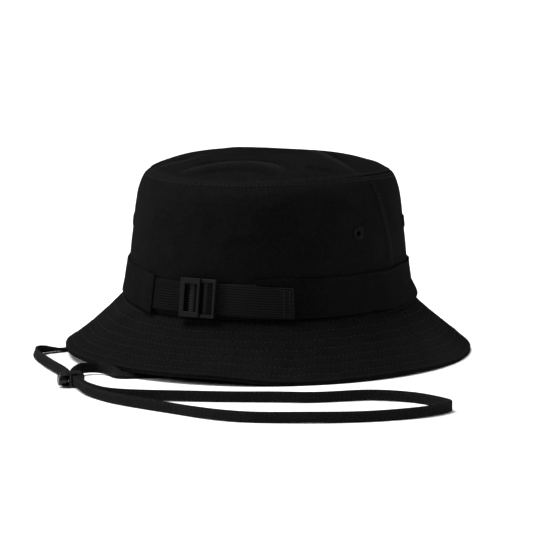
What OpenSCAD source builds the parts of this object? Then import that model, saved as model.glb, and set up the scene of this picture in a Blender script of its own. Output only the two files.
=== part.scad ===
// Boonie-style bucket hat with a buckled hatband, a stitched oval brim and a chin strap with a cord lock.
// The hat stands on its brim: Z up, origin at the middle of the brim's outline on the surface it stands on.
// The wearer faces -Y, and the buckle is at the front.

/* [Crown] */
// Half width of the crown's lower edge, from side to side
crown_half_w = 94; // [91:1:97]
// How much longer than wide the hat is, front to back
oval = 1.08; // [1.04:0.01:1.12]
// Height of the top seam above the surface that the brim stands on
crown_seam_z = 117.7; // [112:0.1:122]
// Rise of the top panel above its seam
dome_h = 13.3; // [8:0.1:18]
// How far the top seam rises at the sides and dips at the front and back
seam_wave = 3.1; // [0:0.1:4]
// Thickness of one layer of the crown's cloth
cloth_t = 1; // [0.8:0.1:1]

/* [Brim] */
// Height of the seam between crown and brim, at the front
brim_seam_z = 35.6; // [33:0.1:37]
// How much higher that seam sits on the wearer's right
seam_rise = 6; // [0:0.1:8]
// Width of the brim, measured flat across the plan
brim_w = 40; // [36:1:44]
// How far the front left edge rides up where the chin strap comes out
brim_lift = 4; // [3.8:0.1:4.2]

/* [Hatband and webbing] */
// Height of the cloth band round the crown
band_h = 25; // [23:0.5:28]
// Angle either side of the front at which the band stops
band_gap = 23; // [22:1:24]
// Width of the webbing that closes the band
webbing_w = 19.4; // [18:0.1:19.6]

/* [Buckle] */
// Length of the buckle along the webbing
buckle_l = 24.7; // [24.4:0.1:25]
// Height of the buckle across the webbing
buckle_h = 24.8; // [24.4:0.1:26]

/* [Chin strap and cord lock] */
// Width of the folded chin strap
strap_w = 6.8; // [6.4:0.1:6.8]
// Thickness of the folded chin strap
strap_t = 2; // [1.8:0.1:2]
// How far the cord lock's button travels
press = 1.6; // [1.2:0.1:1.6]

/* [Hidden] */

cloth = [0.06, 0.06, 0.065];
lining = [0.09, 0.09, 0.095];
nylon = [0.045, 0.045, 0.05];
plastic = [0.12, 0.12, 0.125];
steel = [0.6, 0.6, 0.62];

// Angles are in the plan: 0 is the wearer's left side (+X), -90 the front. The round shells share steps of 6 degrees.
step = 6;
half_gap = 0.03;

// ---- crown: f runs from 0 at the brim seam to 1 at the top seam ----
crown_z0 = brim_seam_z + 0.2;
crown_h = crown_seam_z - crown_z0;
crown_levels = [0, 0.324, 0.543, 0.749, 0.858, 0.931, 0.979, 1];
crown_insets = [[0, 0], [0.324, 3.6], [0.543, 5.6], [0.749, 7.4], [0.858, 8.8], [0.931, 10.6], [0.979, 12.8], [1, 15]];
seam_lean = 7;
dome_power = 3.6;
dome_rings = [1, 0.96, 0.9, 0.8, 0.66, 0.5, 0.32, 0.14];
top_t = 1.1;

// ---- layers against the crown's wall, as offsets from its outer face ----
lining_gap = 0.25;
binding_t = 0.8;
sweatband_t = 1;
band_t = 1.3;
band_off = 0.2;

// ---- webbing and buckle, in a frame that leans with the crown's front ----
webbing_t = 1.2;
webbing_z = 48.2;
tail_drop = 2.2;
webbing_f = (webbing_z - crown_z0) / crown_h;
front_y = -oval * (crown_half_w - lookup(webbing_f, crown_insets));
lean = atan(oval * 3.6 / (0.324 * crown_h));
buckle_x = 0.35;
tail_reach = 38.5;
under_off = 0.3;
tail_off = 1.75;
// The webbing bends on this line where the loop leaves its sewn end.
hinge_u = -16;
hinge_v = 0.45;
loop_bar = [-2.6, 2.5];
wrap_bar = [7.2, 2.9];

// ---- brim: t runs from 0 at the crown to 1 at the edge ----
brim_in = 0.8;
brim_levels = [0, 0.25, 0.5, 0.75, 1];
brim_stack = 3.1;
brim_drop = brim_seam_z - brim_stack;
upper_t = 1.1;
lining_top = 1.15;
lining_bottom = 1.85;
under_top = 1.9;

// ---- eyelets ----
eyelet_z = 86.5;
eyelet_turn = 23.5;
eyelet_hole_r = 1.6;
eyelet_panel_r = 2.6;

// ---- cord lock, on the two runs of strap ----
lock_at = [-46.5, -177.5];
lock_turn = -47;
lock_z = 4.8;
run_off = 1.15;
// Share of its width that the strap keeps where the lock squeezes it
pinch = 0.93;

// ---- chin strap: x, y, z, then 0 where it lies flat or 1 where it stands on its edge, and its share of the width ----
strap_x = crown_half_w - 3.4;
strap_in = [
    [strap_x, 0, 34, 0, 1], [90, -1, 22, 0, 1], [83, -7, 8, 0, 1], [66, -25, 1.6, 0, 1], [40, -58, 1.3, 0, 1],
    [10, -96, 1.1, 0, 1], [-14, -122, 1.1, 0, 1], [-27, -134, 1.15, 0, 1], [-36, -139.2, 2.6, 0.3, 1],
    [-46, -135, 3.75, 0.92, 1], [-55.5, -133.5, 4.2, 1, 1], [-61.5, -140, 4.6, 1, 1], [-61.5, -149.5, 4.8, 1, 1]
];
strap_far = [
    [-24, -197.5, 4.3, 1, 1], [-8, -203, 3.7, 1, 1], [14, -199.5, 3.5, 1, 1], [48, -187, 3.5, 1, 1],
    [82, -172, 3.5, 1, 1], [108, -161, 3.5, 1, 1], [136, -139, 3.5, 1, 1], [164, -133, 3.5, 1, 1],
    [188, -142, 3.5, 1, 1]
];
strap_near = [
    [195.5, -152, 3.5, 1, 1], [187, -175, 3.5, 1, 1], [160, -203, 3.5, 1, 1], [124, -224, 3.5, 1, 1],
    [88, -235, 3.5, 1, 1], [48, -228, 3.5, 1, 1], [6, -217.5, 3.5, 1, 1], [-20, -204, 4, 1, 1]
];
strap_out = [
    [-67, -156, 4.7, 0.95, 1], [-96, -128, 4.1, 0.87, 1], [-120, -101, 3.8, 0.84, 1], [-125.5, -85.5, 3.2, 0.6, 1],
    [-117, -68, 1.4, 0.03, 1], [-101, -44, 1.3, 0, 1], [-90, -20, 3.5, 0, 1], [-89.5, -4, 16, 0, 1],
    [-strap_x, 0, 34, 0, 1]
];
function on_lock(s, t) = [
    lock_at[0] + s * cos(lock_turn) - t * sin(lock_turn),
    lock_at[1] + s * sin(lock_turn) + t * cos(lock_turn), lock_z, 1, pinch
];
strap_route = concat(
    strap_in, [for (s = [-14, -6, 7, 18]) on_lock(s, run_off)], strap_far,
    strap_near, [for (s = [18, 7, -6]) on_lock(s, -run_off)], strap_out
);
rings_per_span = 2;

// ================= helpers =================
function quad(a, b, c, d) = [[a, b, c], [a, c, d]];
function unit(v) = v / norm(v);
function ease(x) = x < 0 ? 0 : x > 1 ? 1 : x * x * (3 - 2 * x);
function oval_pt(a, b, turn, z) = [a * cos(turn), b * sin(turn), z];
function span(from, to, n) = [for (j = [0:n]) from + (to - from) * j / n];
function turns(from, to) = [for (g = [from:step:to]) g];

// A closed sheet between two grids of points, grid[j][k]: j runs round the hat, k up it.
module sheet(outer, inner, closed = false) {
    m = len(outer);
    n = len(outer[0]);
    last = closed ? m - 1 : m - 2;
    o = function(j, k) (j % m) * n + k;
    i = function(j, k) m * n + (j % m) * n + k;
    polyhedron(
        points = concat([for (row = outer) each row], [for (row = inner) each row]),
        faces = concat(
            [for (j = [0:last], k = [0:n - 2]) each quad(o(j, k), o(j, k + 1), o(j + 1, k + 1), o(j + 1, k))],
            [for (j = [0:last], k = [0:n - 2]) each quad(i(j, k), i(j + 1, k), i(j + 1, k + 1), i(j, k + 1))],
            [for (j = [0:last]) each quad(o(j, 0), o(j + 1, 0), i(j + 1, 0), i(j, 0))],
            [for (j = [0:last]) each quad(o(j, n - 1), i(j, n - 1), i(j + 1, n - 1), o(j + 1, n - 1))],
            closed ? [] : [for (k = [0:n - 2]) each quad(o(0, k), i(0, k), i(0, k + 1), o(0, k + 1))],
            closed ? [] : [for (k = [0:n - 2]) each
                quad(o(m - 1, k), o(m - 1, k + 1), i(m - 1, k + 1), i(m - 1, k))]
        ),
        convexity = 8
    );
}

// ================= crown =================
// 1 at a place round the hat, easing to 0 at half_w degrees either side of it.
function near_turn(turn, place, half_w) = ease(1 - abs((turn - place + 540) % 360 - 180) / half_w);
function rise(turn) = seam_rise * near_turn(turn, 196, 56) + 1.5 * near_turn(turn, 30, 60);
function crown_pt(f, turn, off) = let(
    a = crown_half_w - lookup(f, crown_insets),
    wave = max(0, (f - 0.324) / 0.676),
    fade = max(0, 1 - f / 0.6)
) oval_pt(a + off, oval * a + off, turn,
    crown_z0 + f * crown_h + seam_wave * cos(2 * turn) * wave * wave + rise(turn) * fade);
// The side seams lean forward as they near the top.
function seam_turn(f) = seam_lean * pow(max(0, (f - 0.48) / 0.52), 1.5);
function front_turns(f) = span(seam_turn(f) - 180 + half_gap, -seam_turn(f) - half_gap, 30);
function back_turns(f) = span(half_gap - seam_turn(f), 180 + seam_turn(f) - half_gap, 30);

module crown_wall(turn_sets, levels, outer_off, inner_off) {
    count = len(turn_sets[0]);
    sheet(
        [for (j = [0:count - 1]) [for (k = [0:len(levels) - 1]) crown_pt(levels[k], turn_sets[k][j], outer_off)]],
        [for (j = [0:count - 1]) [for (k = [0:len(levels) - 1]) crown_pt(levels[k], turn_sets[k][j], inner_off)]]
    );
}

module crown_ring(levels, outer_off, inner_off) {
    sheet(
        [for (g = turns(0, 360 - step)) [for (f = levels) crown_pt(f, g, outer_off)]],
        [for (g = turns(0, 360 - step)) [for (f = levels) crown_pt(f, g, inner_off)]],
        closed = true
    );
}

function dome_pt(s, turn, drop) = let(a = (crown_half_w - 15) * s)
    oval_pt(a, oval * a, turn,
        crown_seam_z + 0.1 + top_t - drop + dome_h * (1 - pow(s, dome_power)) + seam_wave * cos(2 * turn) * s * s);

module crown_top() {
    n = 360 / step;
    r = len(dome_rings);
    o = function(q, j) q * n + j % n;
    i = function(q, j) (r + q) * n + j % n;
    apex = 2 * r * n;
    color(cloth) polyhedron(
        points = concat(
            [for (s = dome_rings, g = turns(0, 360 - step)) dome_pt(s, g, 0)],
            [for (s = dome_rings, g = turns(0, 360 - step)) dome_pt(s, g, top_t)],
            [dome_pt(0, 0, 0), dome_pt(0, 0, top_t)]
        ),
        faces = concat(
            [for (q = [0:r - 2], j = [0:n - 1]) each quad(o(q, j), o(q + 1, j), o(q + 1, j + 1), o(q, j + 1))],
            [for (q = [0:r - 2], j = [0:n - 1]) each quad(i(q, j), i(q, j + 1), i(q + 1, j + 1), i(q + 1, j))],
            [for (j = [0:n - 1]) each quad(o(0, j), o(0, j + 1), i(0, j + 1), i(0, j))],
            [for (j = [0:n - 1]) [o(r - 1, j), apex, o(r - 1, j + 1)]],
            [for (j = [0:n - 1]) [i(r - 1, j + 1), apex + 1, i(r - 1, j)]]
        ),
        convexity = 6
    );
}

// Puts its children on the crown's wall, Z along the wall's outward normal.
module on_crown(turn) {
    f = (eyelet_z - crown_z0) / crown_h;
    a = crown_half_w - lookup(f, crown_insets);
    p = atan2(sin(turn) / oval, cos(turn));
    at = crown_pt(f, p, 0);
    up = crown_pt(f + 0.02, p, 0);
    face = atan2(sin(p) / oval, cos(p));
    tilt = atan2(norm([at[0], at[1]]) - norm([up[0], up[1]]), up[2] - at[2]);
    translate(at) rotate([0, 90 - tilt, face]) children();
}

module eyelet_holes(turn_list) {
    for (g = turn_list) on_crown(g) cylinder(r = eyelet_panel_r, h = 8, center = true, $fn = 48);
}

module crown_front_panel() {
    color(cloth) difference() {
        crown_wall([for (f = crown_levels) front_turns(f)], crown_levels, 0, -cloth_t);
        eyelet_holes([-eyelet_turn, eyelet_turn - 180]);
    }
}

module crown_back_panel() {
    color(cloth) difference() {
        crown_wall([for (f = crown_levels) back_turns(f)], crown_levels, 0, -cloth_t);
        eyelet_holes([eyelet_turn, 180 - eyelet_turn]);
    }
}

// A thread-bound eyelet: a sleeve through the cloth with a worked ring on each face.
module eyelet(turn) {
    color(cloth) on_crown(turn) rotate_extrude($fn = 48) polygon([
        [eyelet_hole_r, 0.9], [3.6, 0.9], [4.4, 0.4], [2.4, 0.4],
        [2.4, -1.5], [4.2, -1.5], [3.5, -1.9], [eyelet_hole_r, -1.9]
    ]);
}
module eyelet_front_left() { eyelet(-eyelet_turn); }
module eyelet_back_left() { eyelet(eyelet_turn); }
module eyelet_front_right() { eyelet(eyelet_turn - 180); }
module eyelet_back_right() { eyelet(180 - eyelet_turn); }

inner_off = -cloth_t - lining_gap;
module crown_top_binding() { color(lining) crown_ring([0.885, 0.94, 0.98], inner_off, inner_off - binding_t); }
module sweatband() { color(lining) crown_ring([-0.02, 0.12, 0.336], inner_off, inner_off - sweatband_t); }

module side_seam_tape(side) {
    levels = [0.35, 0.543, 0.749, 0.86];
    spread = [-3, 0, 3];
    color(lining) crown_wall(
        [for (f = levels) [for (g = spread) side > 0 ? g - seam_turn(f) : 180 + seam_turn(f) + g]],
        levels, inner_off, inner_off - 0.5
    );
}
module side_seam_tape_left() { side_seam_tape(1); }
module side_seam_tape_right() { side_seam_tape(-1); }

// ================= hatband and webbing =================
// A strip round the crown that may drop as it goes.
module crown_strip(turn_list, z0, z1, outer_off, inner_off, drop = 0) {
    last = len(turn_list) - 1;
    grid = function(off) [for (g = turn_list) [for (z = [z0, z1])
        crown_pt((z - drop * (g - turn_list[0]) / (turn_list[last] - turn_list[0]) - crown_z0) / crown_h, g, off)]];
    sheet(grid(outer_off), grid(inner_off));
}

module hat_band() {
    color(cloth) crown_strip(
        concat([band_gap - 90], turns(-60, 240), [270 - band_gap]),
        crown_z0 + 0.3, crown_z0 + 0.3 + band_h, band_off + band_t, band_off
    );
}

webbing_a = crown_half_w - lookup(webbing_f, crown_insets);
function turn_at(u) = asin((buckle_x + u) / webbing_a) - 90;
webbing_lo = webbing_z - webbing_w / 2;
webbing_hi = webbing_z + webbing_w / 2;
module webbing_sewn_end() {
    color(nylon) crown_strip([-89.9 - band_gap, -108, -102, turn_at(hinge_u - 0.7)],
        webbing_lo, webbing_hi, under_off + 2 * webbing_t, under_off);
}
module webbing_under_run() {
    color(nylon) crown_strip([turn_at(16.6), -78, -72, band_gap - 90.2],
        webbing_lo, webbing_hi, under_off + webbing_t, under_off);
}
module webbing_tail() {
    color(nylon) crown_strip(concat([turn_at(16.6)], turns(-78, -54), [tail_reach - 90]),
        webbing_lo, webbing_hi, tail_off + webbing_t, tail_off, drop = tail_drop);
}

// The buckle's frame: X along the webbing, Y outwards from the crown, Z up.
module on_front() {
    translate([buckle_x, front_y, webbing_z]) rotate([-lean, 0, 0]) mirror([0, 1, 0]) children();
}

// A strip of webbing seen edge on, of thickness t along a path.
function beside(path, k, d) = let(
    before = path[max(k - 1, 0)],
    after = path[min(k + 1, len(path) - 1)]
) path[k] + d * unit([before[1] - after[1], after[0] - before[0]]);
module ribbon(path, t) {
    last = len(path) - 1;
    polygon(concat(
        [for (k = [0:last]) beside(path, k, t / 2)],
        [for (k = [last:-1:0]) beside(path, k, -t / 2)]
    ));
}
function round_bar(c, r, from, to) = [for (g = span(from, to, round(abs(to - from) / 30))) c + r * [cos(g), sin(g)]];

module webbing_buckle_loop() {
    t = webbing_t - 0.1;
    color(nylon) on_front() {
        linear_extrude(webbing_w, center = true) ribbon(
            concat(
                [[hinge_u, hinge_v], [-12.4, 1], [-9.4, 1.4], [-7.4, 1.75], [-5, 3.3]],
                round_bar(loop_bar, 1.65, 105, -90),
                [[-6, 0.55], [-9.4, 0.2], [-12.4, -0.2], [hinge_u + 0.2, hinge_v - t - 0.1]]
            ), t
        );
        translate([hinge_u, hinge_v, 0]) cylinder(r = t / 2, h = webbing_w, center = true, $fn = 32);
    }
}

module webbing_bar_wrap() {
    color(nylon) on_front() linear_extrude(webbing_w, center = true) ribbon(
        concat(
            [[16.3, -0.5], [11.5, 0.35]],
            round_bar(wrap_bar, 2, 270, 40),
            [[10.9, 3], [12.6, 2.1], [14, 1.75], [16.3, 0.95]]
        ), webbing_t
    );
}

module buckle() {
    l = buckle_l;
    h = buckle_h;
    x0 = -10.85;
    inner_h = webbing_w + 0.8;
    color(plastic) on_front() {
        for (s = [-1, 1]) translate([x0 + l / 2, 3.3, s * (inner_h + h) / 4])
            cube([l, 3.4, (h - inner_h) / 2], center = true);
        translate([x0, 2.7, -h / 2]) cube([3.2, 3.5, h]);
        difference() {
            translate([x0, 4.9, -h / 2]) cube([13.9, 1.3, h]);
            translate([x0 + 3.2, 4.8, -h / 2 + 3.5]) cube([8.7, 1.5, h - 7]);
        }
        translate([x0 + 11.9, 3.6, -h / 2]) cube([2, 2.6, h]);
        translate([x0 + l - 1.8, 3.2, -h / 2]) cube([1.8, 2.2, h]);
        translate([loop_bar[0], loop_bar[1], 0]) cylinder(r = 1, h = inner_h + 0.2, center = true, $fn = 32);
        translate([wrap_bar[0], wrap_bar[1], 0]) cylinder(r = 1.25, h = inner_h + 0.2, center = true, $fn = 32);
    }
}

// ================= brim =================
// The edge rides up where the chin strap comes out, from -156 to -80 degrees.
function lift(turn) = let(g = turn > 90 ? turn - 360 : turn)
    brim_lift * min(ease((g + 184) / 28), ease((-55 - g) / 25));
function brim_z(t, turn) =
    brim_seam_z - brim_drop * (1.12 * t - 0.12 * t * t) + rise(turn) * (1 - t) + lift(turn) * t * t;
function brim_pt(t, turn, z) = oval_pt(
    crown_half_w - brim_in + brim_w * t, oval * crown_half_w - brim_in + brim_w * t, turn, z);
function front_half() = concat([half_gap - 180], turns(-174, -step), [-half_gap]);
function back_half() = concat([half_gap], turns(step, 174), [180 - half_gap]);

module brim_ply(turn_list, levels, top, bottom) {
    sheet(
        [for (g = turn_list) [for (t = levels) brim_pt(t, g, brim_z(t, g) - bottom)]],
        [for (g = turn_list) [for (t = levels) brim_pt(t, g, brim_z(t, g) - top)]]
    );
}
module brim_upper(turn_list) { color(cloth) brim_ply(turn_list, brim_levels, 0, upper_t); }
module brim_interlining(turn_list) {
    color(lining) brim_ply(turn_list, [0, 0.25, 0.5, 0.75, 0.95], lining_top, lining_bottom);
}
// The under ply closes the edge, and ends in a narrow flat land that the hat stands on.
module brim_under(turn_list) {
    top_levels = [0, 0.25, 0.5, 0.75, 0.96, 0.97, 1];
    bottom_levels = [0, 0.25, 0.5, 0.75, 0.88, 0.94, 1];
    color(cloth) sheet(
        [for (g = turn_list) [for (t = bottom_levels)
            brim_pt(t, g, t > 0.91 ? brim_z(1, g) - brim_stack : brim_z(t, g) - brim_stack)]],
        [for (g = turn_list) [for (t = top_levels)
            brim_pt(t, g, brim_z(t, g) - (t > 0.965 ? lining_top : under_top))]]
    );
}
module brim_upper_front() { brim_upper(front_half()); }
module brim_upper_back() { brim_upper(back_half()); }
module brim_interlining_front() { brim_interlining(front_half()); }
module brim_interlining_back() { brim_interlining(back_half()); }
module brim_under_front() { brim_under(front_half()); }
module brim_under_back() { brim_under(back_half()); }

// ================= chin strap =================
// The strap's stitched ends, on the sweatband at each side seam.
module strap_end(side) {
    tilt = atan(3.6 / (0.324 * crown_h));
    color(cloth) mirror([side > 0 ? 0 : 1, 0, 0])
        translate([strap_x, 0, 34.1]) rotate([0, -tilt, 0])
        translate([-strap_t / 2, -strap_w / 2, 0]) cube([strap_t, strap_w, 14]);
}
module strap_end_left() { strap_end(1); }
module strap_end_right() { strap_end(-1); }

function curve(a, b, c, d, u) = 0.5 * (2 * b + (c - a) * u + (2 * a - 5 * b + 4 * c - d) * u * u
    + (3 * b - a - 3 * c + d) * u * u * u);
function route_at(path, k, u) = let(n = len(path) - 1)
    curve(path[max(k - 1, 0)], path[k], path[min(k + 1, n)], path[min(k + 2, n)], u);
function smooth(path, per) = concat(
    [for (k = [0:len(path) - 2], q = [0:per - 1]) route_at(path, k, q / per)], [path[len(path) - 1]]);
function xyz(p) = [p[0], p[1], p[2]];
// The flat strap's outline in its own plane: across its width, then through its thickness.
strap_outline = [for (c = [[1, 0.5], [0.8, 1], [-0.8, 1], [-1, 0.5], [-1, -0.5], [-0.8, -1], [0.8, -1], [1, -0.5]])
    [c[0] * strap_w / 2, c[1] * strap_t / 2]];

module chin_strap() {
    path = smooth(strap_route, rings_per_span);
    n = len(path);
    s = len(strap_outline);
    rings = [for (j = [0:n - 1]) let(
        tangent = unit(xyz(path[min(j + 1, n - 1)]) - xyz(path[max(j - 1, 0)])),
        flat = unit([tangent[1], -tangent[0], 0]),
        edge = max(0, min(1, path[j][3])),
        wide = unit(flat * cos(90 * edge) + [0, 0, 1] * sin(90 * edge)),
        across = unit(wide - tangent * (wide * tangent)),
        thick = cross(tangent, across)
    ) [for (c = strap_outline) xyz(path[j]) + across * c[0] * path[j][4] + thick * c[1]]];
    color(cloth) polyhedron(
        points = [for (ring = rings) each ring],
        faces = concat(
            [for (j = [0:n - 2], k = [0:s - 1]) each
                quad(j * s + k, (j + 1) * s + k, (j + 1) * s + (k + 1) % s, j * s + (k + 1) % s)],
            [[for (k = [0:s - 1]) k]], [[for (k = [0:s - 1]) n * s - 1 - k]]
        ),
        convexity = 10
    );
}

// ================= cord lock =================
// The lock's frame: X along the strap towards its loop, Y from the button to the closed end.
module on_strap() { translate([lock_at[0], lock_at[1], 0]) rotate([0, 0, lock_turn]) children(); }
lock_h = 9.2;
lock_from = -8.4;
lock_to = 5.4;
lock_bore_r = 4.1;
button_r = 3.85;
slot_h = strap_w * pinch + 0.4;

module rounded_square(w, h, r) {
    translate([-w / 2 + r, -h / 2]) square([w - 2 * r, h]);
    translate([-w / 2, -h / 2 + r]) square([w, h - 2 * r]);
    for (x = [-1, 1], y = [-1, 1]) translate([x * (w / 2 - r), y * (h / 2 - r)]) circle(r = r, $fn = 32);
}

module cord_lock_housing() {
    color(plastic) on_strap() {
        difference() {
            translate([0, (lock_from + lock_to) / 2, lock_z]) rotate([90, 0, 90])
                linear_extrude(lock_h, center = true) rounded_square(lock_to - lock_from, lock_h, 2);
            translate([0, lock_from - 1, lock_z]) rotate([-90, 0, 0])
                cylinder(r = lock_bore_r, h = lock_to - lock_from + 0.3, $fn = 64);
            translate([-6, -2.5, lock_z - slot_h / 2]) cube([12, 5, slot_h]);
            translate([2, lock_from - 1, lock_z - 3.2]) cube([4, 5.8, 6.4]);
        }
        translate([-4.2, -3.9, lock_z - 2.9]) cube([8.4, 1.2, 5.8]);
    }
}

// The button is a plunger: its end is pressed, and the strap runs through its slot.
module cord_lock_button() {
    rim = 1.2;
    color(plastic) on_strap() translate([0, 0, lock_z]) rotate([-90, 0, 0]) difference() {
        rotate_extrude($fn = 64) {
            translate([0, -9.4]) square([button_r, 12.5]);
            translate([0, -10.6]) square([button_r - rim, 1.3]);
            intersection() {
                translate([button_r - rim, -9.4]) circle(r = rim, $fn = 48);
                translate([button_r - rim - 0.1, -10.7]) square([rim + 0.2, 1.4]);
            }
        }
        translate([-6, -(slot_h / 2 - 0.05), -3.9 - press - 0.1]) cube([12, slot_h - 0.1, press + 6.4]);
        translate([0, 0, -9.4]) cylinder(r = 2.7, h = 6, $fn = 48);
    }
}

spring_turns = 4;
module cord_lock_spring() {
    wire = 0.25;
    r = 2.1;
    y0 = -9.1;
    y1 = -4.2;
    n = spring_turns * 12;
    path = [for (j = [0:n]) let(g = j * 30) [r * cos(g), y0 + (y1 - y0) * j / n, lock_z + r * sin(g)]];
    s = 8;
    rings = [for (j = [0:n]) let(
        tangent = unit(path[min(j + 1, n)] - path[max(j - 1, 0)]),
        side = unit(cross(tangent, [0, 1, 0])),
        up = cross(side, tangent)
    ) [for (k = [0:s - 1]) path[j] + wire * (side * cos(k * 360 / s) + up * sin(k * 360 / s))]];
    color(steel) on_strap() polyhedron(
        points = [for (ring = rings) each ring],
        faces = concat(
            [for (j = [0:n - 1], k = [0:s - 1]) each
                quad(j * s + k, (j + 1) * s + k, (j + 1) * s + (k + 1) % s, j * s + (k + 1) % s)],
            [[for (k = [0:s - 1]) k]], [[for (k = [0:s - 1]) (n + 1) * s - 1 - k]]
        ),
        convexity = 10
    );
}

crown_top();
crown_front_panel();
crown_back_panel();
crown_top_binding();
side_seam_tape_left();
side_seam_tape_right();
eyelet_front_left();
eyelet_back_left();
eyelet_front_right();
eyelet_back_right();
hat_band();
webbing_sewn_end();
webbing_buckle_loop();
webbing_under_run();
webbing_bar_wrap();
webbing_tail();
buckle();
brim_upper_front();
brim_upper_back();
brim_interlining_front();
brim_interlining_back();
brim_under_front();
brim_under_back();
sweatband();
strap_end_left();
strap_end_right();
chin_strap();
cord_lock_housing();
cord_lock_button();
cord_lock_spring();
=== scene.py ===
import math

import bmesh
import bpy
import numpy as np
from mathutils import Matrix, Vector


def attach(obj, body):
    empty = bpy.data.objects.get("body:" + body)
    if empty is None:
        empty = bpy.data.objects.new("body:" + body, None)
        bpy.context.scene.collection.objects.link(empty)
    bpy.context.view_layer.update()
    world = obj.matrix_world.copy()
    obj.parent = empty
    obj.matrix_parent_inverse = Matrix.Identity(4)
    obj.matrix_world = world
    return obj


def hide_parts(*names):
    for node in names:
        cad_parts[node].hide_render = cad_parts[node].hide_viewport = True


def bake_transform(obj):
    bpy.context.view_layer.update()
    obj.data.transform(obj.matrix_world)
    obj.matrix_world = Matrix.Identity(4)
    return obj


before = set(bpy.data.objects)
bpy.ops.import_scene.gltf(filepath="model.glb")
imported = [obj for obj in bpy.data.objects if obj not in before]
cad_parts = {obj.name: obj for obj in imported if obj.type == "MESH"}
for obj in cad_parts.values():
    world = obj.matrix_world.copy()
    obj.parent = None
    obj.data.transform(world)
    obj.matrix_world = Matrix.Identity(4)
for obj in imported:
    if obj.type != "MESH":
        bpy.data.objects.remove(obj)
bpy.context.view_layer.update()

# The CAD model's sizes, in millimetres, which become metres when a mesh is made. A turn is an angle in the
# plan, in degrees: 0 is the wearer's left side (+X) and -90 the front. From 0 to 1, f goes up the crown's
# wall, s from the middle of its top out to the shoulder, and t out across the brim.
MM = 0.001
HALF_W = 94
OVAL = 1.08
SEAM_Z = 117.7
CROWN_Z0 = 35.8
CROWN_H = SEAM_Z - CROWN_Z0
WALL_ARC = 85
WALL_RADIUS = 90
MM_PER_TURN = 1.55
DOME_W = HALF_W - 15
DOME_H = 13.3
TOP_T = 1.1
PLY_GAP = 0.1
SEAM_WAVE = 3.1
INSET_F = np.array([0, 0.324, 0.543, 0.749, 0.858, 0.931, 0.979, 1])
INSET = np.array([0, 3.6, 5.6, 7.4, 8.8, 10.6, 12.8, 15])
WALL_SLOPE = INSET[1] / (INSET_F[1] * CROWN_H)
BRIM_Z = 35.6
BRIM_W = 40
BRIM_STACK = 3.1
BRIM_IN = 0.8
BRIM_PLY = 1.1
BRIM_ROWS = [0.05 + 0.138 * k for k in range(7)]
BAND_LOW = CROWN_Z0 + 0.3
BAND_H = 25
WEB_Z = 48.2
WEB_W = 19.4
WEB_A = HALF_W - WALL_SLOPE * (WEB_Z - CROWN_Z0)
FRONT_Y = -OVAL * WEB_A
LEAN = math.atan(OVAL * WALL_SLOPE)
BUCKLE_X = 0.35
HINGE_U = -16
EYELET_Z = 86.5
EYELET_TURN = 23.5
STRAP_W = 6.8
STRAP_HALF_T = 0.98
STRAP_X = HALF_W - 3.4
STRAP_EXIT_Z = 34
LOCK_AT = (-46.5, -177.5)
LOCK_TURN = math.radians(-47)


# ===== camera =====
def add_object(name, data):
    obj = bpy.data.objects.new(name, data)
    bpy.context.scene.collection.objects.link(obj)
    return obj


def aim(obj, at):
    obj.rotation_euler = (Vector(at) - obj.location).to_track_quat("-Z", "Y").to_euler()


def make_camera():
    data = bpy.data.cameras.new("camera")
    data.lens = 202.4
    data.sensor_width = 36
    data.shift_x = -0.0022
    data.clip_end = 100
    cam = add_object("camera", data)
    cam.location = (0.8833, -1.7716, 0.340)
    aim(cam, (0, 0, 0.055))
    bpy.context.scene.camera = cam


make_camera()


# ===== numbers =====
def ease(x):
    x = np.clip(x, 0, 1)
    return x * x * (3 - 2 * x)


def near_turn(turn, place, half_w):
    """1 at a place round the hat, easing to 0 at half_w degrees either side of it."""
    return ease(1 - np.abs((turn - place + 540) % 360 - 180) / half_w)


def hill(x, width):
    return np.exp(-(x / width) ** 2)


def ripple(turn, seed, low, high):
    """A wandering wave of about unit height round the hat, of between low and high cycles."""
    rng = np.random.default_rng(seed)
    a = np.radians(turn)
    waves = [np.sin(k * a + p) for k, p in zip(rng.integers(low, high, 6), rng.uniform(0, 6.28, 6))]
    return sum(waves) / 1.7


def lines(x, y, strokes):
    """Soft ridges and creases along strokes, fading at both ends: (width, height, point, point, ...)."""
    total = 0 * (x + y)
    for width, height, *points in strokes:
        best, place = 1e9 + total, 0 * total
        s = arc(np.array(points, float))
        for (x0, y0), (x1, y1), s0, s1 in zip(points, points[1:], s, s[1:]):
            dx, dy = x1 - x0, y1 - y0
            u = np.clip(((x - x0) * dx + (y - y0) * dy) / (dx * dx + dy * dy), 0, 1)
            away = np.hypot(x - x0 - u * dx, y - y0 - u * dy)
            place = np.where(away < best, (s0 + u * (s1 - s0)) / s[-1], place)
            best = np.minimum(best, away)
        total = total + height * hill(best, width) * ease(0.15 + 4 * place) * ease(0.15 + 4 * (1 - place))
    return total


def rows(length, step, radius):
    """Places along a length, close together within a radius of both ends."""
    start = radius * np.array([0, 0.08, 0.3, 0.62])
    middle = np.linspace(radius, length - radius, max(2, round((length - 2 * radius) / step) + 1))
    return np.concatenate([start, middle, length - start[::-1]])


def rolled(s, length, radius):
    """How much of its thickness a piece keeps: all in the middle, less within a radius of both ends."""
    d = np.clip(np.minimum(s, length - s) / radius, 0, 1)
    return np.maximum(0.12, np.sqrt(1 - (1 - d) ** 2))


def arc(points):
    steps = np.linalg.norm(np.diff(points, axis=0), axis=1)
    return np.concatenate([[0], np.cumsum(steps)])


def xyz(x, y, z):
    """Points from their coordinates, which may be grids, rows, columns or single numbers."""
    return np.stack(np.broadcast_arrays(x, y, z), -1)


def unit(v):
    return v / np.maximum(np.linalg.norm(v, axis=-1, keepdims=True), 1e-12)


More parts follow.
